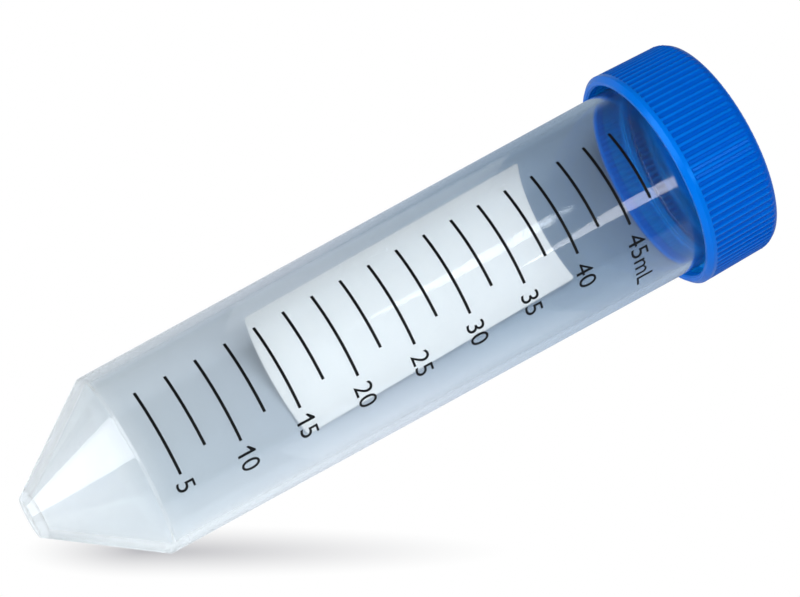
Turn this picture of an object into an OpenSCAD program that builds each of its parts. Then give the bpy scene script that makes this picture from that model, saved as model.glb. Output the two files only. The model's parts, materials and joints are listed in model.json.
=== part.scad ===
// 50 ml conical tube with a ribbed screw cap, lying on its side.
// Each piece is drawn upright about the Z axis with the tip of its cone at the
// origin, and laid down as the closed tube comes to rest: on its shoulder and
// on the lower rim of its cap, which is the wider of the two.

/* [Tube] */
// Outer diameter of the wall at the shoulder, above the cone
shoulder_d = 28.15; // [26:0.05:30]
// Outer diameter of the wall at the mouth
mouth_d = 29.7; // [28:0.05:31]
// Height of the tube without its cap
tube_h = 114.6; // [100:0.1:130]
// Thickness of the straight wall
wall = 1.3; // [0.8:0.05:2]
// Height of the cone
cone_h = 15.3; // [12:0.1:20]
// Thickness of the cone's wall
cone_wall = 1.4; // [0.8:0.05:2.5]
// Diameter of the flat on the tip
tip_d = 6.2; // [5:0.1:8]
// Thickness of plastic over the tip
tip_floor = 1.8; // [1:0.1:3]
// Rounding of the tip's edge
tip_round = 0.5; // [0.2:0.1:1]
// Rounding of the shoulder
shoulder_round = 0.8; // [0.2:0.1:2]
// Rounding of the lip at the mouth
lip_round = 0.35; // [0.1:0.05:0.4]

/* [Neck thread] */
// Rise of the thread in one turn
thread_pitch = 3.5; // [2.5:0.1:5]
// Turns of the thread
thread_turns = 1.75; // [1:0.25:2]
// Height of the thread over the neck
thread_depth = 0.7; // [0.3:0.05:0.9]
// Width of the thread at its root
thread_root_w = 1.6; // [1:0.1:2.2]
// Width of the thread at its crest
thread_crest_w = 0.7; // [0.3:0.1:0.9]
// Distance from the mouth down to the top of the thread
thread_drop = 1.6; // [1:0.1:3]

/* [Cap] */
// Thickness of the cap's skirt at its lower rim, ribs included
skirt_wall = 1.5; // [1.2:0.05:2]
// How much narrower the cap is at its top than at its lower rim
cap_taper = 0.45; // [0:0.05:0.8]
// Length of the cap's skirt, from its lower rim to the tube's mouth
skirt_h = 11; // [10:0.1:14]
// Thickness of the cap's top
cap_top = 1.75; // [1:0.05:2]
// Rounding of the cap's top edge
cap_round = 1.2; // [0.8:0.1:1.6]
// Height of the plain band round the lower rim
band_h = 1.3; // [1:0.1:2]
// Width of the bevel under the plain band
band_bevel = 0.7; // [0.3:0.1:0.9]
// Bevel on the inner edge of the lower rim
rim_bevel = 0.3; // [0.1:0.1:0.5]

/* [Cap ribs] */
// Number of ribs round the cap
rib_count = 92; // [60:1:110]
// Height of a rib over the skirt
rib_h = 0.3; // [0.15:0.05:0.4]
// Width of a rib at its foot
rib_foot_w = 0.75; // [0.5:0.05:0.8]
// Width of a rib at its crest
rib_crest_w = 0.32; // [0.2:0.02:0.4]
// How far below the cap's top face the ribs end
rib_drop = 0.5; // [0.3:0.1:1]

/* [Plug seal] */
// Length of the sealing ring inside the mouth
plug_h = 3; // [2:0.1:4]
// Thickness of the sealing ring
plug_wall = 0.9; // [0.6:0.05:1.2]
// Bevel that guides the sealing ring into the mouth
plug_bevel = 0.35; // [0.1:0.05:0.5]

/* [Graduations] */
// Volume at the lowest graduation, in ml
first_ml = 5; // [5:2.5:10]
// Volume between two graduations, in ml
step_ml = 2.5; // [2.5:2.5:5]
// Number of graduations
mark_count = 18; // [6:1:18]
// Length round the wall of each full graduation
long_mark = 13.6; // [8:0.1:16]
// Length round the wall of the half graduations between them
short_mark = 11.6; // [5:0.1:14]
// Width of a printed line
mark_w = 0.45; // [0.3:0.05:0.6]
// Angle from the top of the lying tube to where the lines start
mark_start = -9; // [-30:1:30]

/* [Writing panel] */
// Height of the panel's lower edge
panel_low = 43; // [30:0.5:60]
// Length of the panel along the tube
panel_l = 46.7; // [20:0.1:55]
// Width of the panel round the wall
panel_w = 21.2; // [10:0.1:30]
// Angle from the top of the lying tube to the panel's middle
panel_turn = -142; // [-180:1:-100]
// Radius of the panel's corners
panel_corner = 1.5; // [0.5:0.1:3]

/* [Fits] */
// Radial clearance of the cap's skirt over the thread
skirt_gap = 0.25; // [0.2:0.05:0.5]
// Radial clearance of the sealing ring in the mouth
plug_gap = 0.06; // [0.02:0.01:0.1]
// Clearance between the tube's lip and the cap's top
lip_gap = 0.02; // [0.01:0.01:0.05]
// Thickness of the printed ink
ink_t = 0.03; // [0.02:0.01:0.05]
// Clearance of the ink over the wall
ink_gap = 0.005; // [0.005:0.005:0.01]

/* [Hidden] */
$fn = 96;

mm3_per_ml = 1000;
arc_steps = 6;
ring_step = 6;

// Wall: radii at a height above the tip
draft = (mouth_d - shoulder_d) / 2 / (tube_h - cone_h);
function outer_r(z) = shoulder_d / 2 + draft * (z - cone_h);
function inner_r(z) = outer_r(z) - wall;

// Cone: its inside is parallel to its outside and meets the straight wall at bore_z
cone_slope = (shoulder_d - tip_d) / 2 / cone_h;
cone_wall_r = cone_wall * sqrt(1 + cone_slope * cone_slope);
bore_z = cone_h + (cone_wall_r - wall) / (cone_slope - draft);
floor_r = tip_d / 2 + cone_slope * tip_floor - cone_wall_r;

// Volume held up to bore_z, and the height at which the tube holds a volume
no_draft = 0.00001;
cone_mm3 = PI * (bore_z - tip_floor) / 3
    * (floor_r * floor_r + floor_r * inner_r(bore_z) + inner_r(bore_z) * inner_r(bore_z));
function level(mm3) =
    abs(draft) < no_draft
    ? bore_z + (mm3 - cone_mm3) / (PI * inner_r(bore_z) * inner_r(bore_z))
    : bore_z + (pow(pow(inner_r(bore_z), 3) + 3 * draft * (mm3 - cone_mm3) / PI, 1 / 3)
        - inner_r(bore_z)) / draft;

// Thread: a trapezoid that runs round the neck and fades out at both ends
thread_r = mouth_d / 2;
thread_sink = wall / 3;
thread_fade = 30;
thread_least = 0.02;
thread_top = tube_h - thread_drop - thread_root_w / 2;
thread_low = thread_top - thread_pitch * thread_turns;
thread_sweep = 360 * thread_turns;

// Cap
rim_z = tube_h - skirt_h;
cap_end = tube_h + cap_top;
cap_inner_r = thread_r + thread_depth + skirt_gap;
cap_r = cap_inner_r + skirt_wall;
cap_top_r = cap_r - cap_taper / 2;
cap_draft = (cap_r - cap_top_r) / (cap_end - rim_z);
function crest_r(z) = cap_r - cap_draft * (z - rim_z);
plug_r = inner_r(tube_h - plug_h) - plug_gap;

// Rest: the angle of the axis to the floor, and the height of the tip above it
rim_foot_z = rim_z + band_bevel;
rest_tilt = atan((crest_r(rim_foot_z) - shoulder_d / 2) / (rim_foot_z - cone_h));
tip_up = shoulder_d / 2 * cos(rest_tilt) - cone_h * sin(rest_tilt);
low_x = -tip_d / 2 * sin(rest_tilt);
high_x = cap_end * cos(rest_tilt) + (cap_top_r - cap_round) * sin(rest_tilt);

// A closed outline whose corners [x, y, radius] are rounded
function unit(v) = v / norm(v);
function wrapped(a) = a - 360 * floor((a + 180) / 360);
function corner(before, at, after, r) =
    r == 0 ? [at] :
    let (
        a = unit(before - at),
        b = unit(after - at),
        half = acos(a * b) / 2,
        centre = at + unit(a + b) * r / sin(half),
        from = at + a * r / tan(half) - centre,
        to = at + b * r / tan(half) - centre,
        start = atan2(from.y, from.x),
        turn = wrapped(atan2(to.y, to.x) - start)
    )
    [for (i = [0:arc_steps]) centre + r * [cos(start + turn * i / arc_steps),
                                           sin(start + turn * i / arc_steps)]];
function flat(p) = [p.x, p.y];
function rounded(pts) = let (n = len(pts))
    [for (i = [0:n - 1])
        each corner(flat(pts[(i + n - 1) % n]), flat(pts[i]), flat(pts[(i + 1) % n]), pts[i].z)];

module revolve(pts) {
    rotate_extrude() polygon(rounded(pts));
}

// Lays a piece down, with the tip towards -X and its own +X side on top
module lie_down() {
    translate([-(low_x + high_x) / 2, 0, tip_up])
        rotate([0, 90 - rest_tilt, 0])
            rotate([0, 0, 180]) children();
}

module tube_wall() {
    revolve([
        [0, 0, 0],
        [tip_d / 2, 0, tip_round],
        [shoulder_d / 2, cone_h, shoulder_round],
        [mouth_d / 2, tube_h, lip_round],
        [mouth_d / 2 - wall, tube_h, lip_round],
        [inner_r(bore_z), bore_z, shoulder_round],
        [floor_r, tip_floor, tip_round],
        [0, tip_floor, 0]
    ]);
}

// Cross-section of the thread at angle a, as points in space
function fade(a) = min(1, a / thread_fade, (thread_sweep - a) / thread_fade);
function thread_ring(a) = let (
        z = thread_low + thread_pitch * a / 360,
        crest = thread_r + max(thread_least, thread_depth * fade(a)),
        root = thread_r - thread_sink)
    [for (p = [[root, -thread_root_w / 2], [thread_r, -thread_root_w / 2],
               [crest, -thread_crest_w / 2], [crest, thread_crest_w / 2],
               [thread_r, thread_root_w / 2], [root, thread_root_w / 2]])
        [p.x * cos(a), p.x * sin(a), z + p.y]];

module thread() {
    rings = round(thread_sweep / ring_step);
    side = 6;
    pts = [for (i = [0:rings]) each thread_ring(thread_sweep * i / rings)];
    skin = [for (i = [0:rings - 1], j = [0:side - 1])
        let (k = (j + 1) % side)
        [i * side + j, i * side + k, (i + 1) * side + k, (i + 1) * side + j]];
    ends = [[for (j = [side - 1:-1:0]) j], [for (j = [0:side - 1]) rings * side + j]];
    polyhedron(pts, concat(skin, ends));
}

module tube() {
    color([0.82, 0.88, 0.92, 0.45]) lie_down() {
        tube_wall();
        thread();
    }
}

// Skirt and top of the cap between its ribs, hollow underneath
module cap_shell() {
    revolve([
        [0, cap_end, 0],
        [0, tube_h + lip_gap, 0],
        [plug_r - plug_wall, tube_h + lip_gap, 0],
        [plug_r - plug_wall, tube_h - plug_h, 0],
        [plug_r - plug_bevel, tube_h - plug_h, 0],
        [plug_r, tube_h - plug_h + plug_bevel, 0],
        [plug_r, tube_h + lip_gap, 0],
        [cap_inner_r, tube_h + lip_gap, 0],
        [cap_inner_r, rim_z + rim_bevel, 0],
        [cap_inner_r + rim_bevel, rim_z, 0],
        [cap_r - band_bevel, rim_z, 0],
        [crest_r(rim_foot_z), rim_foot_z, 0],
        [crest_r(rim_z + band_h), rim_z + band_h, 0],
        [crest_r(rim_z + band_h + rib_h) - rib_h, rim_z + band_h + rib_h, 0],
        [cap_top_r - rib_h, cap_end, cap_round]
    ]);
}

// Ribs: spokes of one flat outline, trimmed to the cap's outer form
module ribs() {
    foot = cap_top_r - 2 * rib_h;
    past = cap_r + rib_h;
    spokes = [for (i = [0:rib_count - 1], p = [
            [foot, -rib_foot_w / 2], [cap_r - rib_h, -rib_foot_w / 2],
            [cap_r, -rib_crest_w / 2], [past, -rib_crest_w / 2],
            [past, rib_crest_w / 2], [cap_r, rib_crest_w / 2],
            [cap_r - rib_h, rib_foot_w / 2], [foot, rib_foot_w / 2]])
        let (a = 360 * (i + 0.5) / rib_count)
        [p.x * cos(a) - p.y * sin(a), p.x * sin(a) + p.y * cos(a)]];
    intersection() {
        translate([0, 0, rim_z + band_bevel])
            linear_extrude(cap_end - rim_z - band_bevel) polygon(spokes);
        difference() {
            revolve([
                [0, rim_z + band_bevel, 0],
                [crest_r(rim_foot_z), rim_foot_z, 0],
                [cap_top_r, cap_end - rib_drop, cap_round],
                [0, cap_end - rib_drop, 0]
            ]);
            cylinder(r = foot + rib_h / 2, h = cap_end);
        }
    }
}

module cap() {
    color([0.02, 0.36, 0.83]) lie_down() {
        cap_shell();
        ribs();
    }
}

// A band of ink on the wall between two heights
module ink_band(low, high, start, sweep) {
    rotate([0, 0, start]) rotate_extrude(angle = sweep) polygon([
        [outer_r(low) + ink_gap, low],
        [outer_r(low) + ink_gap + ink_t, low],
        [outer_r(high) + ink_gap + ink_t, high],
        [outer_r(high) + ink_gap, high]
    ]);
}

module graduation_marks() {
    color([0.06, 0.06, 0.07]) lie_down()
        for (i = [0:mark_count - 1]) {
            z = level((first_ml + i * step_ml) * mm3_per_ml);
            sweep = (i % 2 == 0 ? long_mark : short_mark) / outer_r(z) * 180 / PI;
            if (z < rim_z - band_h)
                ink_band(z - mark_w / 2, z + mark_w / 2, mark_start, sweep);
        }
}

module writing_panel() {
    mid_r = outer_r(panel_low + panel_l / 2);
    sweep = panel_w / mid_r * 180 / PI;
    color([0.97, 0.97, 0.96]) lie_down()
        intersection() {
            ink_band(panel_low, panel_low + panel_l, panel_turn - sweep / 2, sweep);
            rotate([0, 0, panel_turn]) translate([0, 0, panel_low + panel_l / 2])
                rotate([90, 0, 90]) linear_extrude(mouth_d)
                    rounded_rectangle(2 * mid_r * sin(sweep / 2), panel_l, panel_corner);
        }
}

module rounded_rectangle(w, l, r) {
    union() {
        square([w, l - 2 * r], center = true);
        square([w - 2 * r, l], center = true);
        for (x = [-1, 1], y = [-1, 1])
            translate([x * (w / 2 - r), y * (l / 2 - r)]) circle(r);
    }
}

tube();
cap();
graduation_marks();
writing_panel();
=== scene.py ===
"""A 50 ml conical tube lying closed on its side: a clarified polypropylene tube with a printed
scale and writing panel, and its ribbed polyethylene screw cap."""

import json
import math

import bmesh
import bpy
from mathutils import Matrix, Vector


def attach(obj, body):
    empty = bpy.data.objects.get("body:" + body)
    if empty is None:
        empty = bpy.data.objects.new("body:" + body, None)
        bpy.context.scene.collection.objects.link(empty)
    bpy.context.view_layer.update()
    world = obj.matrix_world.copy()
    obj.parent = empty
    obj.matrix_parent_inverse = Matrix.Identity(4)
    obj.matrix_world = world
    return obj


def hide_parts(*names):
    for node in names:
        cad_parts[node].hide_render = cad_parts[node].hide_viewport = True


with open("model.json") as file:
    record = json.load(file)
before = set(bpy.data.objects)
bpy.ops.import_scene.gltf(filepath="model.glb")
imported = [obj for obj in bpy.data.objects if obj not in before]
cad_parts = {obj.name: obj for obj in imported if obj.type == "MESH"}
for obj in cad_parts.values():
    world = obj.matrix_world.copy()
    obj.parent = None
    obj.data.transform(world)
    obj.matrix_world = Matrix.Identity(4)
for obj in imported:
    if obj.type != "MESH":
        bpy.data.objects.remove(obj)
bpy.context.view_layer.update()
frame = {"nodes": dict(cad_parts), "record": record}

# Sizes in millimetres. Every piece is modelled upright about the Z axis, with the tip of the cone
# at the origin, and then laid down where the frame's tip and cap are.
MM = 0.001

SHOULDER_R = 14.075
MOUTH_R = 14.85
TUBE_H = 114.6
WALL = 1.3
CONE_H = 15.3
CONE_WALL = 1.4
TIP_R = 3.1
TIP_FLOOR = 1.8
TIP_ROUND = 0.5
SHOULDER_ROUND = 0.8
LIP_ROUND = 0.35

PITCH = 3.5
THREAD_TURNS = 1.75
THREAD_DEPTH = 0.7
THREAD_DROP = 1.6
THREAD_ROOT_W = 1.6
THREAD_CREST_W = 0.7
THREAD_SINK = 0.4
THREAD_FADE = 30
CAP_THREAD_TURNS = 2.25
THREAD_FOOT = 104.5
TUBE_SIDES = 720

SKIRT_GAP = 0.25
SKIRT_WALL = 1.5
SKIRT_H = 11.0
CAP_TOP = 1.75
CAP_TAPER = 0.225
CAP_ROUND = 1.2
BAND_H = 1.3
BAND_BEVEL = 0.7
RIM_BEVEL = 0.3
PLUG_H = 3.0
PLUG_WALL = 0.9
PLUG_GAP = 0.06
PLUG_BEVEL = 0.35
LIP_GAP = 0.02

RIB_COUNT = 92
RIB_H = 0.3
RIB_DROP = 0.5
RIB_COLUMNS = 6
RIB_SIDE_SHARE = 0.8
GROOVE_LEAN = 0.004

INK_T = 0.03
INK_SINK = 0.01
MARK_W = 0.45
PRINT_STRIP = 0.5
PANEL_CORNER = 0.5
PANEL_LOW = 42.3
PANEL_HIGH = 89.7
PANEL_HALF = math.radians(47.5)
PANEL_TURN = math.radians(1.4)
NUMBER_H = 2.8
NUMBER_CAP_SHARE = 0.7
NUMBER_GAP = 1.1
NUMBER_STROKE = 0.4
ONE_GAP = 0.75
ONE_FLAG = 0.75
LINE_COUNT = 18
STEP_ML = 5

DRAFT = (MOUTH_R - SHOULDER_R) / (TUBE_H - CONE_H)
CONE_SLOPE = (SHOULDER_R - TIP_R) / CONE_H
CONE_WALL_R = CONE_WALL * math.hypot(1, CONE_SLOPE)
BORE_Z = CONE_H + (CONE_WALL_R - WALL) / (CONE_SLOPE - DRAFT)
FLOOR_R = TIP_R + CONE_SLOPE * TIP_FLOOR - CONE_WALL_R
RIM_Z = TUBE_H - SKIRT_H
CAP_END = TUBE_H + CAP_TOP
CAP_INNER_R = MOUTH_R + THREAD_DEPTH + SKIRT_GAP
CAP_R = CAP_INNER_R + SKIRT_WALL
CAP_TOP_R = CAP_R - CAP_TAPER


def wall_r(height):
    """Outer radius of the tube's straight wall."""
    return SHOULDER_R + DRAFT * (height - CONE_H)


def crest_r(height):
    """Radius over the cap's ribs, which round off below the cap's top edge."""
    plain = CAP_R - CAP_TAPER * (height - RIM_Z) / (CAP_END - RIM_Z)
    over = height - (CAP_END - RIB_DROP - CAP_ROUND)
    if over <= 0:
        return plain
    return CAP_TOP_R - CAP_ROUND + math.sqrt(max(0, CAP_ROUND**2 - over**2))


# The frame says where the upright pieces lie: the tip, the axis and the side that is on top
mounts = {mount["name"]: mount for mount in frame["record"]["mounts"]}
TIP = Vector(mounts["tip_face"]["pos_m"])
AXIS = Vector(mounts["cap_top_face"]["axis"]).normalized()
NEAR = Vector((0, -1, 0))
LAID = Matrix.Translation(TIP) @ Matrix((NEAR.cross(AXIS), NEAR, AXIS)).transposed().to_4x4()


def upright(point):
    """A point of the frame, in millimetres of the upright tube."""
    return LAID.inverted() @ Vector(point) / MM


# Camera: above the near side of the cone, looking down along the tube

def make_camera(aim, turn, dip, distance, lens):
    """A camera that looks at aim from a distance, turned from +Y and dipped below level."""
    level = math.cos(dip)
    forward = Vector((math.sin(turn) * level, math.cos(turn) * level, -math.sin(dip)))
    data = bpy.data.cameras.new("camera")
    data.sensor_width = 36
    data.lens = lens
    camera = bpy.data.objects.new("camera", data)
    camera.location = aim - forward * distance
    camera.rotation_euler = forward.to_track_quat("-Z", "Y").to_euler()
    bpy.context.scene.collection.objects.link(camera)
    bpy.context.scene.camera = camera


CAMERA_AIM = Vector((4.15, 2.35, 16.0)) * MM
CAMERA_TURN = math.radians(31.45)
CAMERA_DIP = math.radians(58.75)
CAMERA_DISTANCE = 458.1 * MM
CAMERA_LENS = 141.6

make_camera(CAMERA_AIM, CAMERA_TURN, CAMERA_DIP, CAMERA_DISTANCE, CAMERA_LENS)


# Modelling

def rounded(corners, steps=8):
    """The closed outline through corners (radius, height, rounding) as points (radius, height)."""
    points = []
    for before, at, after in zip(corners[-1:] + corners[:-1], corners, corners[1:] + corners[:1]):
        here = Vector(at[:2])
        if not at[2]:
            points.append(here)
            continue
        back = (Vector(before[:2]) - here).normalized()
        on = (Vector(after[:2]) - here).normalized()
        half = back.angle(on) / 2
        centre = here + (back + on).normalized() * at[2] / math.sin(half)
        start = here + back * at[2] / math.tan(half) - centre
        end = here + on * at[2] / math.tan(half) - centre
        turn = math.remainder(math.atan2(end.y, end.x) - math.atan2(start.y, start.x), math.tau)
        points += [centre + Matrix.Rotation(turn * i / steps, 2) @ start for i in range(steps + 1)]
    return points


def begin(name):
    """Names the primitive that was just added and opens it for shaping."""
    piece = bpy.context.object
    piece.name = piece.data.name = name
    bpy.ops.object.mode_set(mode="EDIT")
    return piece


def lathe(name, outline, sides):
    """A closed body of revolution: a disc whose rim is extruded along the outline's points
    (radius, height)."""
    radius, height = outline[0]
    bpy.ops.object.select_all(action="DESELECT")
    bpy.ops.mesh.primitive_circle_add(vertices=sides, radius=radius * MM, fill_type="TRIFAN")
    piece = begin(name)
    bpy.ops.transform.translate(value=(0, 0, height * MM))
    bpy.ops.mesh.select_mode(type="EDGE")
    bpy.ops.mesh.select_all(action="DESELECT")
    bpy.ops.mesh.select_non_manifold()
    for next_radius, next_height in outline[1:]:
        rise = (0, 0, (next_height - height) * MM)
        bpy.ops.mesh.extrude_edges_move(TRANSFORM_OT_translate={"value": rise})
        grow = next_radius / radius
        bpy.ops.transform.resize(value=(grow, grow, 1), center_override=(0, 0, 0))
        radius, height = next_radius, next_height
    bpy.ops.mesh.edge_face_add()
    bpy.ops.mesh.poke()
    bpy.ops.mesh.select_all(action="SELECT")
    bpy.ops.mesh.normals_make_consistent(inside=False)
    bpy.ops.object.mode_set(mode="OBJECT")
    return piece


def select_where(piece, wanted):
    """In edit mode, selects the vertices for whose place in millimetres wanted() is true."""
    bpy.ops.mesh.select_mode(type="VERT")
    mesh = bmesh.from_edit_mesh(piece.data)
    for vertex in mesh.verts:
        vertex.select = wanted(vertex.co / MM)
    mesh.select_flush_mode()
    bmesh.update_edit_mesh(piece.data)


def apply_modifier(piece, kind, **settings):
    """Adds a modifier with its settings and applies it."""
    bpy.ops.object.select_all(action="DESELECT")
    bpy.context.view_layer.objects.active = piece
    piece.select_set(True)
    modifier = piece.modifiers.new(kind.lower(), kind)
    for name, value in settings.items():
        setattr(modifier, name, value)
    bpy.ops.object.modifier_apply(modifier=modifier.name)


def place(piece, matrix):
    """Moves the piece by matrix and puts its place into its mesh."""
    bpy.ops.object.select_all(action="DESELECT")
    bpy.context.view_layer.objects.active = piece
    piece.select_set(True)
    piece.matrix_world = matrix @ piece.matrix_world
    bpy.ops.object.transform_apply(location=True, rotation=True, scale=True)


def join(name, parts):
    """Joins finished parts into one piece."""
    bpy.ops.object.select_all(action="DESELECT")
    for part in parts:
        part.select_set(True)
    bpy.context.view_layer.objects.active = parts[0]
    bpy.ops.object.join()
    parts[0].name = parts[0].data.name = name
    return parts[0]


def finish_piece(piece, body, slot, material, *replaced, angle=30):
    """Lays the piece down, smooths it, gives it its material and body, and hides the CAD nodes it
    replaces. The slot is not used.
    """
    place(piece, LAID)
    bpy.ops.object.shade_smooth_by_angle(angle=math.radians(angle))
    piece.data.materials.clear()
    piece.data.materials.append(material)
    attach(piece, body)
    if replaced:
        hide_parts(*replaced)


def swept_thread(name, section, low, turns, fade, steps_per_turn=72):
    """A right-hand thread whose section of points (radius, height) climbs from low and fades at
    both ends.

    The points of the section that lie on its root radius, the first point's, stay there.
    """
    root = section[0][0]
    steps = round(turns * steps_per_turn)
    bpy.ops.object.select_all(action="DESELECT")
    bpy.ops.mesh.primitive_circle_add(vertices=len(section), radius=MM, fill_type="NGON")
    piece = begin(name)
    mesh = bmesh.from_edit_mesh(piece.data)
    for vertex, (radius, height) in zip(mesh.verts, section):
        vertex.co = Vector((radius, 0, low + height)) * MM
    bmesh.update_edit_mesh(piece.data)

    def share(step):
        """How much of its depth the thread has after a step."""
        return min(1, max(0.03, min(step, steps - step) * 360 / steps_per_turn / fade))

    def set_depth(angle, factor):
        """Scales the ring's depth across the root by factor."""
        out = Matrix.Rotation(angle, 3, "Z") @ Vector((1, 0, 0))
        bpy.ops.transform.resize(
            value=(factor, 1, 1), orient_type="LOCAL",
            orient_matrix=(out, out.cross((0, 0, -1)), (0, 0, 1)), orient_matrix_type="LOCAL",
            center_override=out * root * MM)

    set_depth(0, share(0))
    for step in range(steps):
        turn = math.tau / steps_per_turn
        bpy.ops.mesh.extrude_region_move(
            TRANSFORM_OT_translate={"value": (0, 0, PITCH / steps_per_turn * MM)})
        bpy.ops.transform.rotate(value=-turn, orient_axis="Z", center_override=(0, 0, 0))
        set_depth(turn * (step + 1), share(step + 1) / share(step))
    bpy.ops.mesh.select_all(action="SELECT")
    bpy.ops.mesh.normals_make_consistent(inside=False)
    bpy.ops.object.mode_set(mode="OBJECT")
    return piece


# Materials

def linear(hex_colour):
    """The linear colour of an sRGB hex value."""
    parts = [int(hex_colour[i:i + 2], 16) / 255 for i in (1, 3, 5)]
    return tuple(c / 12.92 if c <= 0.04045 else ((c + 0.055) / 1.055) ** 2.4 for c in parts) + (1,)


def add(tree, kind, inputs=(), **settings):
    """Adds a node with its settings; inputs are values, or the sockets that feed them."""
    node = tree.nodes.new("ShaderNode" + kind)
    for name, value in settings.items():
        setattr(node, name, value)
    for name, value in dict(inputs).items():
        if isinstance(value, bpy.types.NodeSocket):
            tree.links.new(value, node.inputs[name])
        else:
            node.inputs[name].default_value = value
    return node


def new_material(name):
    """A material with an empty node tree, and its output node."""
    material = bpy.data.materials.new(name)
    material.use_nodes = True
    material.node_tree.nodes.clear()
    return material, material.node_tree, add(material.node_tree, "OutputMaterial")


def tube_place(tree):
    """The shaded point in millimetres of the upright tube."""
    world = add(tree, "TexCoord").outputs["Object"]
    return add(tree, "Mapping", {"Vector": world, "Location": TIP, "Rotation": LAID.to_euler(),
                                 "Scale": (MM, MM, MM)}, vector_type="TEXTURE").outputs["Vector"]


# Share of the light that the tube's wall lets straight through
TIP_CLEAR = 0.75
CONE_CLEAR = 0.87
WALL_CLEAR = 0.988
NECK_CLEAR = 0.998


def clarified_polypropylene():
    """Injection-moulded clarified polypropylene: nearly water clear at the neck, and milky in the
    cone, where the moulding cools slowest, with a smooth skin that keeps soft lights sharp."""
    material, tree, output = new_material("clarified polypropylene")
    spot = tube_place(tree)
    height = add(tree, "SeparateXYZ", {"Vector": spot}).outputs["Z"]
    along = add(tree, "MapRange", {"Value": height, "From Min": 0, "From Max": CAP_END})
    clear = add(tree, "ValToRGB", {"Fac": along.outputs["Result"]})
    clear.color_ramp.elements[0].position = 0
    clear.color_ramp.elements[0].color = (TIP_CLEAR, TIP_CLEAR, TIP_CLEAR, 1)
    clear.color_ramp.elements[1].position = 1.0
    clear.color_ramp.elements[1].color = (NECK_CLEAR, NECK_CLEAR, NECK_CLEAR, 1)
    for place, share in ((CONE_H - 2, CONE_CLEAR), (CONE_H + 3, WALL_CLEAR)):
        clear.color_ramp.elements.new(place / CAP_END).color = (share, share, share, 1)
    waves = add(tree, "TexNoise", {"Vector": spot, "Scale": 0.12, "Detail": 2})
    ripple = add(tree, "Bump", {"Height": waves.outputs["Fac"], "Strength": 0.003, "Distance": MM})
    skin = add(tree, "MapRange", {"Value": height, "From Min": RIM_Z - 3, "From Max": RIM_Z + 3,
                                  "To Min": 0.06, "To Max": 0.22})
    plastic = add(tree, "BsdfPrincipled", {
        "Base Color": linear("#f6f9fb"), "Normal": ripple.outputs["Normal"],
        "Transmission Weight": clear.outputs["Color"], "IOR": 1.49,
        "Roughness": skin.outputs["Result"]})
    shadow = add(tree, "BsdfTransparent", {"Color": linear("#fbfcfd")})
    path = add(tree, "LightPath")
    lit = add(tree, "MixShader", {"Fac": path.outputs["Is Shadow Ray"], 1: plastic.outputs["BSDF"],
                                  2: shadow.outputs["BSDF"]})
    tree.links.new(lit.outputs["Shader"], output.inputs["Surface"])
    return material


def moulded_polyethylene():
    """Injection-moulded high-density polyethylene with blue masterbatch: waxy and saturated, with
    a satin skin whose grain breaks up the highlights on the ribs. Its blue is painted by depth
    below the ribs' crests: lighter on the crests as a painted highlight, darker in the grooves as
    painted shade, and lighter again on the inside of the cap as painted light."""
    material, tree, output = new_material("high-density polyethylene")
    spot = tube_place(tree)
    clouds = add(tree, "TexNoise", {"Vector": spot, "Scale": 0.35, "Detail": 3})
    flat = add(tree, "VectorMath", {0: spot, 1: (1, 1, 0)}, operation="MULTIPLY")
    radius = add(tree, "VectorMath", {0: flat.outputs["Vector"]}, operation="LENGTH")
    height = add(tree, "SeparateXYZ", {"Vector": spot}).outputs["Z"]
    crest = add(tree, "MapRange", {"Value": height, "From Min": RIM_Z, "From Max": CAP_END,
                                   "To Min": CAP_R, "To Max": CAP_TOP_R})
    depth = add(tree, "Math", {0: crest.outputs["Result"], 1: radius.outputs["Value"]},
                operation="SUBTRACT")
    over_band = add(tree, "MapRange", {"Value": height, "From Min": RIM_Z + BAND_H,
                                       "From Max": RIM_Z + BAND_H + RIB_H})
    under_top = add(tree, "MapRange", {"Value": height, "From Min": CAP_END - 0.3,
                                       "From Max": CAP_END - CAP_ROUND})
    ribbed = add(tree, "Math", {0: over_band.outputs["Result"], 1: under_top.outputs["Result"]},
                 operation="MULTIPLY")
    depth = add(tree, "Math", {0: depth.outputs[0], 1: ribbed.outputs[0]}, operation="MULTIPLY")
    deep = add(tree, "Math", {0: clouds.outputs["Fac"], 1: 0.06, 2: depth.outputs[0]},
               operation="MULTIPLY_ADD")
    # Painted highlight on the crests, painted shade in the grooves and painted light on the inside
    # of the cap, all set by depth below the crests
    shade = add(tree, "ValToRGB", {"Fac": deep.outputs[0]})
    shade.color_ramp.elements[0].position = 0.03
    shade.color_ramp.elements[0].color = linear("#0074e4")
    shade.color_ramp.elements[1].position = 1.0
    shade.color_ramp.elements[1].color = linear("#008ae4")
    for place in (0.6 * RIB_H, 2 * RIB_H):
        shade.color_ramp.elements.new(place).color = linear("#005ac8")
    grain = add(tree, "TexNoise", {"Vector": spot, "Scale": 6, "Detail": 2})
    bump = add(tree, "Bump", {"Height": grain.outputs["Fac"], "Strength": 0.06,
                              "Distance": 0.1 * MM})
    skin = add(tree, "MapRange", {"Value": grain.outputs["Fac"], "To Min": 0.2, "To Max": 0.27})
    plastic = add(tree, "BsdfPrincipled", {
        "Base Color": shade.outputs["Color"], "Normal": bump.outputs["Normal"],
        "Roughness": skin.outputs["Result"], "IOR": 1.53, "Specular Tint": linear("#45a8ff"),
        "Subsurface Weight": 0.15, "Subsurface Radius": (0.15, 0.5, 1.0), "Subsurface Scale": MM})
    tree.links.new(plastic.outputs["BSDF"], output.inputs["Surface"])
    return material


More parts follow.
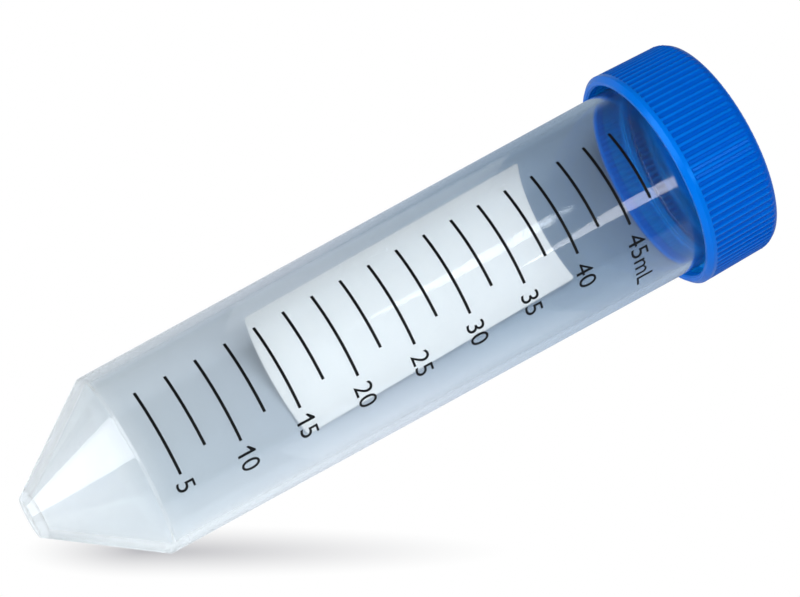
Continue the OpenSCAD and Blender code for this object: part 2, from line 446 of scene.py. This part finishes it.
def printing_ink(name, colour, thin_colour, roughness):
    """Screen-printing ink baked on plastic: a matt film, a little uneven where it is thin."""
    material, tree, output = new_material(name)
    spot = tube_place(tree)
    film = add(tree, "TexNoise", {"Vector": spot, "Scale": 2.5, "Detail": 4})
    shade = add(tree, "ValToRGB", {"Fac": film.outputs["Fac"]})
    shade.color_ramp.elements[0].position = 0.35
    shade.color_ramp.elements[0].color = linear(thin_colour)
    shade.color_ramp.elements[1].position = 0.6
    shade.color_ramp.elements[1].color = linear(colour)
    bump = add(tree, "Bump", {"Height": film.outputs["Fac"], "Strength": 0.1,
                              "Distance": 0.02 * MM})
    ink = add(tree, "BsdfPrincipled", {
        "Base Color": shade.outputs["Color"], "Normal": bump.outputs["Normal"],
        "Roughness": roughness})
    tree.links.new(ink.outputs["BSDF"], output.inputs["Surface"])
    return material


polypropylene = clarified_polypropylene()
polyethylene = moulded_polyethylene()
black_ink = printing_ink("black printing ink", "#040406", "#0b0c0f", 0.55)
white_ink = printing_ink("white printing ink", "#f4f6f6", "#eceff0", 0.6)


# Tube: one moulding, its outline turned about the axis, with the thread of the neck fused on

def make_tube():
    wall = rounded([
        (0, 0, 0), (TIP_R, 0, TIP_ROUND), (SHOULDER_R, CONE_H, SHOULDER_ROUND),
        (wall_r(THREAD_FOOT), THREAD_FOOT, 0), (MOUTH_R, TUBE_H, LIP_ROUND),
        (MOUTH_R - WALL, TUBE_H, LIP_ROUND),
        (wall_r(BORE_Z) - WALL, BORE_Z, SHOULDER_ROUND), (FLOOR_R, TIP_FLOOR, TIP_ROUND),
        (0, TIP_FLOOR, 0)])
    tube = lathe("tube_moulding", wall[1:-1], TUBE_SIDES)
    top = TUBE_H - THREAD_DROP - THREAD_ROOT_W / 2
    root, crest = THREAD_ROOT_W / 2, THREAD_CREST_W / 2
    ridge = swept_thread("neck_thread", [
        (MOUTH_R - THREAD_SINK, -root), (MOUTH_R, -root), (MOUTH_R + THREAD_DEPTH, -crest),
        (MOUTH_R + THREAD_DEPTH, crest), (MOUTH_R, root), (MOUTH_R - THREAD_SINK, root)],
        top - PITCH * THREAD_TURNS, THREAD_TURNS, THREAD_FADE)
    apply_modifier(tube, "BOOLEAN", operation="UNION", solver="EXACT", object=ridge)
    bpy.data.objects.remove(ridge)
    return tube


tube = make_tube()


# Cap: skirt, top and plug ring in one turned outline, whose outer wall carries the ribs

def make_cap():
    sides = RIB_COUNT * RIB_COLUMNS
    groove_r = CAP_TOP_R - RIB_H
    plug_r = wall_r(TUBE_H - PLUG_H) - WALL - PLUG_GAP
    roof = TUBE_H + LIP_GAP
    outline = rounded([
        (0, roof, 0), (plug_r - PLUG_WALL, roof, 0), (plug_r - PLUG_WALL, TUBE_H - PLUG_H, 0.2),
        (plug_r - PLUG_BEVEL, TUBE_H - PLUG_H, 0.1), (plug_r, TUBE_H - PLUG_H + PLUG_BEVEL, 0.1),
        (plug_r, roof, 0), (CAP_INNER_R, roof, 0), (CAP_INNER_R, RIM_Z + RIM_BEVEL, 0.1),
        (CAP_INNER_R + RIM_BEVEL, RIM_Z, 0.1), (CAP_R - BAND_BEVEL, RIM_Z, 0.15),
        (crest_r(RIM_Z + BAND_BEVEL), RIM_Z + BAND_BEVEL, 0.2),
        (crest_r(RIM_Z + BAND_H), RIM_Z + BAND_H, 0.08),
        (crest_r(RIM_Z + BAND_H + RIB_H) - RIB_H, RIM_Z + BAND_H + RIB_H, 0),
        (groove_r + GROOVE_LEAN, CAP_END - CAP_ROUND - RIB_DROP, 0),
        (groove_r, CAP_END, CAP_ROUND), (0, CAP_END, 0)])
    cap = lathe("cap_moulding", outline[1:-1], sides)
    bpy.ops.object.mode_set(mode="EDIT")
    step = math.tau / sides
    for radius, height in outline:
        rise = crest_r(height) - radius
        ribbed = radius >= CAP_INNER_R - CAP_ROUND and height >= RIM_Z + BAND_H + RIB_H / 2
        if not ribbed or rise <= 0:
            continue
        for offsets, share in (((0,), 1.0), ((1, RIB_COLUMNS - 1), RIB_SIDE_SHARE)):
            select_where(cap, lambda co: abs(co.z - height) < 0.001
                         and abs(math.hypot(co.x, co.y) - radius) < 0.01
                         and round(math.atan2(co.y, co.x) / step) % RIB_COLUMNS in offsets)
            grow = 1 + rise * share / radius
            bpy.ops.transform.resize(value=(grow, grow, 1), center_override=(0, 0, 0))
    bpy.ops.object.mode_set(mode="OBJECT")

    top = TUBE_H - THREAD_DROP - THREAD_ROOT_W / 2 + PITCH / 2
    root, crest = THREAD_ROOT_W / 2, THREAD_CREST_W / 2
    ridge = swept_thread("cap_thread", [
        (CAP_INNER_R + THREAD_SINK, -root), (CAP_INNER_R, -root),
        (CAP_INNER_R - THREAD_DEPTH, -crest), (CAP_INNER_R - THREAD_DEPTH, crest),
        (CAP_INNER_R, root), (CAP_INNER_R + THREAD_SINK, root)],
        top - PITCH * CAP_THREAD_TURNS, CAP_THREAD_TURNS, THREAD_FADE)
    apply_modifier(cap, "BOOLEAN", operation="UNION", solver="EXACT", object=ridge)
    bpy.data.objects.remove(ridge)
    return cap


cap = make_cap()


# Printing: the lines of the scale and the writing panel lie where the frame's nodes lie

def printed_places(node):
    """The printed node's vertices as (height, angle from their middle), and that middle's angle."""
    points = [upright(vertex.co) for vertex in frame["nodes"][node].data.vertices]
    middle = math.atan2(sum(p.y for p in points), sum(p.x for p in points))
    places = [(p.z, math.remainder(math.atan2(p.y, p.x) - middle, math.tau)) for p in points]
    return sorted(places), middle


def line_places(gap=1.0):
    """Height, start angle and end angle of each line of the scale, which lie over a gap apart."""
    places, middle = printed_places("graduation_marks")
    groups = [[places[0]]]
    for before, at in zip(places, places[1:]):
        if at[0] - before[0] > gap:
            groups.append([])
        groups[-1].append(at)
    lines = []
    for group in groups:
        heights, angles = zip(*group)
        lines.append(((heights[0] + heights[-1]) / 2, min(angles) + middle, max(angles) + middle))
    return lines


def ink_line(height, start, end):
    """A line of ink round the wall: its section is spun from the start angle to the end angle."""
    middle = wall_r(height) - INK_SINK + (INK_T + INK_SINK) / 2
    bpy.ops.object.select_all(action="DESELECT")
    bpy.ops.mesh.primitive_plane_add(size=MM, rotation=(math.pi / 2, 0, 0))
    line = begin("scale_line")
    bpy.ops.object.mode_set(mode="OBJECT")
    foot = Matrix.Translation(Vector((middle, 0, height)) * MM)
    section = Matrix.Diagonal((INK_T + INK_SINK, 1, MARK_W, 1))
    place(line, Matrix.Rotation(start, 4, "Z") @ foot @ section)
    bpy.ops.object.mode_set(mode="EDIT")
    bpy.ops.mesh.select_all(action="SELECT")
    bpy.ops.mesh.spin(steps=24, angle=start - end, center=(0, 0, 0), axis=(0, 0, 1))
    bpy.ops.mesh.select_all(action="SELECT")
    bpy.ops.mesh.normals_make_consistent(inside=False)
    bpy.ops.object.mode_set(mode="OBJECT")
    return line


def facing_out(angle, height, radius):
    """The place of a flat piece that faces out from the axis, with its top towards the cap."""
    out = Vector((math.cos(angle), math.sin(angle), 0))
    along = Vector((-out.y, out.x, 0))
    turned = Matrix((along, (0, 0, 1), out)).transposed().to_4x4()
    return Matrix.Translation((out * radius + Vector((0, 0, height))) * MM) @ turned


def print_on_wall(piece, angle, height, width):
    """Cuts a flat piece into strips, bends them onto the wall and gives the film its thickness."""
    bpy.ops.object.select_all(action="DESELECT")
    bpy.context.view_layer.objects.active = piece
    piece.select_set(True)
    bpy.ops.object.mode_set(mode="EDIT")
    strips = math.ceil(width / PRINT_STRIP)
    for cut in range(1, strips):
        bpy.ops.mesh.select_all(action="SELECT")
        bpy.ops.mesh.bisect(plane_co=((cut / strips - 0.5) * width * MM, 0, 0), plane_no=(1, 0, 0))
    bpy.ops.object.mode_set(mode="OBJECT")
    piece.matrix_world = facing_out(angle, height, MOUTH_R + 1)
    apply_modifier(piece, "SHRINKWRAP", target=tube, wrap_method="PROJECT", use_project_z=True,
                   use_negative_direction=True, use_positive_direction=False)
    sink = INK_SINK / (INK_SINK + INK_T)
    apply_modifier(piece, "SOLIDIFY", thickness=(INK_T + INK_SINK) * MM, offset=1 - 2 * sink)
    place(piece, Matrix.Identity(4))
    return piece


def make_panel():
    """The white area on the far side, a flat plate that is turned a little and laid on the wall."""
    _, middle = printed_places("writing_panel")
    middle -= PANEL_TURN
    centre = (PANEL_LOW + PANEL_HIGH) / 2
    width = 2 * wall_r(centre) * math.sin(PANEL_HALF)
    bpy.ops.object.select_all(action="DESELECT")
    bpy.ops.mesh.primitive_plane_add(size=MM)
    panel = begin("writing_area")
    bpy.ops.transform.resize(value=(width, PANEL_HIGH - PANEL_LOW, 1))
    bpy.ops.mesh.select_all(action="SELECT")
    bpy.ops.mesh.bevel(offset=PANEL_CORNER * MM, segments=6, affect="VERTICES")
    bpy.ops.transform.rotate(value=PANEL_TURN, orient_axis="Z", center_override=(0, 0, 0))
    bpy.ops.object.mode_set(mode="OBJECT")
    return print_on_wall(panel, middle, centre, width)


def make_one():
    """The figure 1 with its flag, its stroke standing just left of the origin."""
    top, left = NUMBER_H, -NUMBER_STROKE
    outline = [(0, 0), (0, top), (-NUMBER_STROKE * 0.75, top),
               (left - ONE_FLAG, top - ONE_FLAG), (left - ONE_FLAG, top - ONE_FLAG * 1.5),
               (left, top - ONE_FLAG), (left, 0)]
    bpy.ops.object.select_all(action="DESELECT")
    bpy.ops.mesh.primitive_circle_add(vertices=len(outline), radius=MM, fill_type="NGON")
    one = begin("number_one")
    mesh = bmesh.from_edit_mesh(one.data)
    for vertex, (across, up) in zip(mesh.verts, outline):
        vertex.co = Vector((across, up, 0)) * MM
    bmesh.update_edit_mesh(one.data)
    bpy.ops.mesh.select_all(action="SELECT")
    bpy.ops.mesh.normals_make_consistent(inside=False)
    bpy.ops.object.mode_set(mode="OBJECT")
    return one


def make_number(text, height, start):
    """A number of the scale, whose first digit starts at an angle on the wall."""
    bpy.ops.object.select_all(action="DESELECT")
    bpy.ops.object.text_add()
    number = bpy.context.object
    number.data.body = text.removeprefix("1")
    number.data.size = NUMBER_H / NUMBER_CAP_SHARE * MM
    bpy.ops.object.convert(target="MESH")
    if text.startswith("1"):
        left = min(v.co.x for v in number.data.vertices)
        one = make_one()
        place(one, Matrix.Translation((left - ONE_GAP * MM, 0, 0)))
        number = join(text, [number, one])
    xs = [v.co.x for v in number.data.vertices]
    ys = [v.co.y for v in number.data.vertices]
    width = (max(xs) - min(xs)) / MM
    place(number, Matrix.Translation((-(max(xs) + min(xs)) / 2, -(max(ys) + min(ys)) / 2, 0)))
    return print_on_wall(number, start + width / 2 / wall_r(height), height, width)


lines = line_places()
scale = join("scale_lines", [ink_line(*line) for line in lines])
labels = [str(STEP_ML * (i + 1)) for i in range(LINE_COUNT // 2)]
labels[-1] += "mL"
number_row = lines[0][2] + NUMBER_GAP / wall_r(lines[0][0])
numbers = join("scale_numbers", [
    make_number(text, height, number_row) for text, (height, _, _) in zip(labels, lines[::2])])
panel = make_panel()

finish_piece(tube, "tube_body", "tube", polypropylene, "tube")
finish_piece(cap, "cap_body", "cap", polyethylene, "cap", angle=40)
finish_piece(scale, "tube_body", "black_ink", black_ink, "graduation_marks")
finish_piece(numbers, "tube_body", "black_ink", black_ink)
finish_piece(panel, "tube_body", "white_ink", white_ink, "writing_panel")


# Floor, lamps and world. The floor's places are in metres of the scene.
# The painted shadow on the floor, a soft grey ellipse under the cone: its centre, turn, reach to
# the right and to the left, and half width
PAINTED_SHADE_AT = (-0.0451, -0.0062, 0)
PAINTED_SHADE_TURN = math.radians(-31.45)
PAINTED_SHADE_RIGHT = 0.054
PAINTED_SHADE_LEFT = 0.0175
PAINTED_SHADE_WIDE = 0.0045
# PAPER_REACH is half the span along X over which the paper's grey is painted darker towards the cap
PAPER_REACH = 0.06
# The painted glow on the floor's near side: full beyond PAINTED_GLOW_FOOT in front of the axis,
# fading out over PAINTED_GLOW_WIDE towards it
PAINTED_GLOW_FOOT = 0.0125
PAINTED_GLOW_WIDE = 0.012


def make_floor():
    """Pale grey paper, which the camera sees as white but for a painted shadow that spreads from
    under the cone. Its grey is painted darker towards the cap, as painted shade. Gloss sees the
    paper lighter close to the object, a painted reflection, and rays through the clear wall see
    its near side lighter, a painted glow that stands in for the light the wall gathers on it."""
    bpy.ops.object.select_all(action="DESELECT")
    bpy.ops.mesh.primitive_plane_add(size=6)
    floor = bpy.context.object
    floor.name = "floor"
    material, tree, output = new_material("pale grey paper")
    place = add(tree, "TexCoord").outputs["Object"]
    where = add(tree, "SeparateXYZ", {"Vector": place})
    # Painted shade: the paper's grey darkens along X towards the cap
    along = add(tree, "MapRange", {"Value": where.outputs["X"], "From Min": -PAPER_REACH,
                                   "From Max": PAPER_REACH})
    painted_paper_falloff = add(tree, "ValToRGB", {"Fac": along.outputs["Result"]})
    painted_paper_falloff.color_ramp.elements[0].position = 0.12
    painted_paper_falloff.color_ramp.elements[0].color = linear("#d0d7db")
    painted_paper_falloff.color_ramp.elements[1].position = 0.83
    painted_paper_falloff.color_ramp.elements[1].color = linear("#8fa2b6")
    for position, colour in ((0.5, "#bac3ce"), (0.67, "#a7b6c5")):
        painted_paper_falloff.color_ramp.elements.new(position).color = linear(colour)
    paper = add(tree, "BsdfDiffuse", {"Color": painted_paper_falloff.outputs["Color"]})
    # Painted shadow: camera rays see white, greyed in a soft ellipse that spreads from under the
    # cone
    painted_shade_place = add(tree, "Mapping", {"Vector": place, "Location": PAINTED_SHADE_AT,
                                        "Rotation": (0, 0, PAINTED_SHADE_TURN)}, vector_type="TEXTURE")
    sides = add(tree, "SeparateXYZ", {"Vector": painted_shade_place.outputs["Vector"]})
    right = add(tree, "Math", {0: sides.outputs["X"], 1: 1 / PAINTED_SHADE_RIGHT}, operation="MULTIPLY")
    left = add(tree, "Math", {0: sides.outputs["X"], 1: -1 / PAINTED_SHADE_LEFT}, operation="MULTIPLY")
    outward = add(tree, "Math", {0: right.outputs[0], 1: left.outputs[0]}, operation="MAXIMUM")
    across = add(tree, "Math", {0: sides.outputs["Y"], 1: 1 / PAINTED_SHADE_WIDE}, operation="MULTIPLY")
    reach = add(tree, "CombineXYZ", {"X": outward.outputs[0], "Y": across.outputs[0]})
    fade = add(tree, "TexGradient", {"Vector": reach.outputs["Vector"]}, gradient_type="SPHERICAL")
    fade = add(tree, "Math", {0: fade.outputs["Fac"], 1: 1.4}, operation="POWER")
    tone = add(tree, "Mix", {"Factor": fade.outputs[0], "A": (1, 1, 1, 1), "B": linear("#bcbcc0")},
               data_type="RGBA")
    seen = add(tree, "Emission", {"Color": tone.outputs["Result"], "Strength": 1.0})
    # Painted reflection: glossy rays see the floor lighter close to the object
    beside = add(tree, "Math", {0: where.outputs["Y"]}, operation="ABSOLUTE")
    close = add(tree, "MapRange", {"Value": beside.outputs[0], "From Min": 0.03, "From Max": 0.1,
                                   "To Min": 0.3, "To Max": 0.04})
    path = add(tree, "LightPath")
    mirrored = add(tree, "Math", {0: path.outputs["Is Glossy Ray"],
                                  1: path.outputs["Is Transmission Ray"]},
                   operation="SUBTRACT", use_clamp=True)
    gloss = add(tree, "Math", {0: mirrored.outputs[0], 1: close.outputs["Result"]},
                operation="MULTIPLY")
    # Painted glow: rays through the clear wall see the floor's near side lighter, standing in for
    # light that the clear wall gathers on it
    behind = add(tree, "Math", {0: where.outputs["Y"], 1: PAINTED_GLOW_FOOT}, operation="ADD")
    near = add(tree, "MapRange", {"Value": behind.outputs[0], "From Min": 0.0,
                                  "From Max": PAINTED_GLOW_WIDE, "To Min": 0.25, "To Max": 0},
               interpolation_type="SMOOTHSTEP")
    # Both painted lights on the floor fade towards the cap
    painted_falloff_to_cap = add(tree, "MapRange", {"Value": where.outputs["X"], "From Min": -0.05,
                                    "From Max": 0.05, "To Min": 1.0, "To Max": 0.4})
    painted_glow = add(tree, "Math", {0: near.outputs["Result"], 1: path.outputs["Is Transmission Ray"]},
               operation="MULTIPLY")
    extra = add(tree, "Math", {0: painted_glow.outputs[0], 1: gloss.outputs[0]})
    extra = add(tree, "Math", {0: extra.outputs[0], 1: painted_falloff_to_cap.outputs["Result"]},
                operation="MULTIPLY")
    light = add(tree, "Emission", {"Strength": extra.outputs[0]})
    lit = add(tree, "AddShader", {0: paper.outputs["BSDF"], 1: light.outputs["Emission"]})
    surface = add(tree, "MixShader", {"Fac": path.outputs["Is Camera Ray"],
                                      1: lit.outputs["Shader"], 2: seen.outputs["Emission"]})
    tree.links.new(surface.outputs["Shader"], output.inputs["Surface"])
    floor.data.materials.append(material)


def make_lamp(name, at, aim, width, painted_falloff_to_cap, radiance, turn=0, in_gloss=True):
    """A soft rectangular lamp, turned about its own axis, whose face is radiance times white."""
    data = bpy.data.lights.new(name, "AREA")
    data.shape = "RECTANGLE"
    data.size, data.size_y = width, painted_falloff_to_cap
    data.energy = radiance * math.pi * width * painted_falloff_to_cap
    lamp = bpy.data.objects.new(name, data)
    lamp.location = at
    facing = (Vector(at) - Vector(aim)).to_track_quat("Z", "Y").to_matrix()
    lamp.rotation_euler = (facing @ Matrix.Rotation(turn, 3, "Z")).to_euler()
    lamp.visible_camera = False
    lamp.visible_glossy = in_gloss
    lamp.visible_transmission = in_gloss
    bpy.context.scene.collection.objects.link(lamp)


def make_world():
    """A dim grey studio over the floor."""
    world = bpy.data.worlds.new("studio")
    bpy.context.scene.world = world
    world.use_nodes = True
    tree = world.node_tree
    tree.nodes.clear()
    sky = add(tree, "Background", {"Color": linear("#e8eef4"), "Strength": 0.07})
    add(tree, "OutputWorld", {"Surface": sky.outputs["Background"]})


make_floor()
make_world()
make_lamp("side softbox", (-0.52, 0.1, 0.24), (-0.05, 0, 0.02), 0.42, 0.36, 4.0)
make_lamp("overhead softbox", (0.0, -0.33, 0.9), (0, 0, 0), 0.55, 0.55, 7.7, in_gloss=False)
make_lamp("slanted softbox", (0.1573, -0.260, 0.3093), (0.032, -0.0083, 0.0288), 0.078, 0.078, 7.5,
          turn=math.radians(45))
make_lamp("front fill", (0, -0.6, 0.14), (0, 0, 0.02), 0.6, 0.2, 1.4, in_gloss=False)

bpy.context.scene.view_settings.view_transform = "Standard"
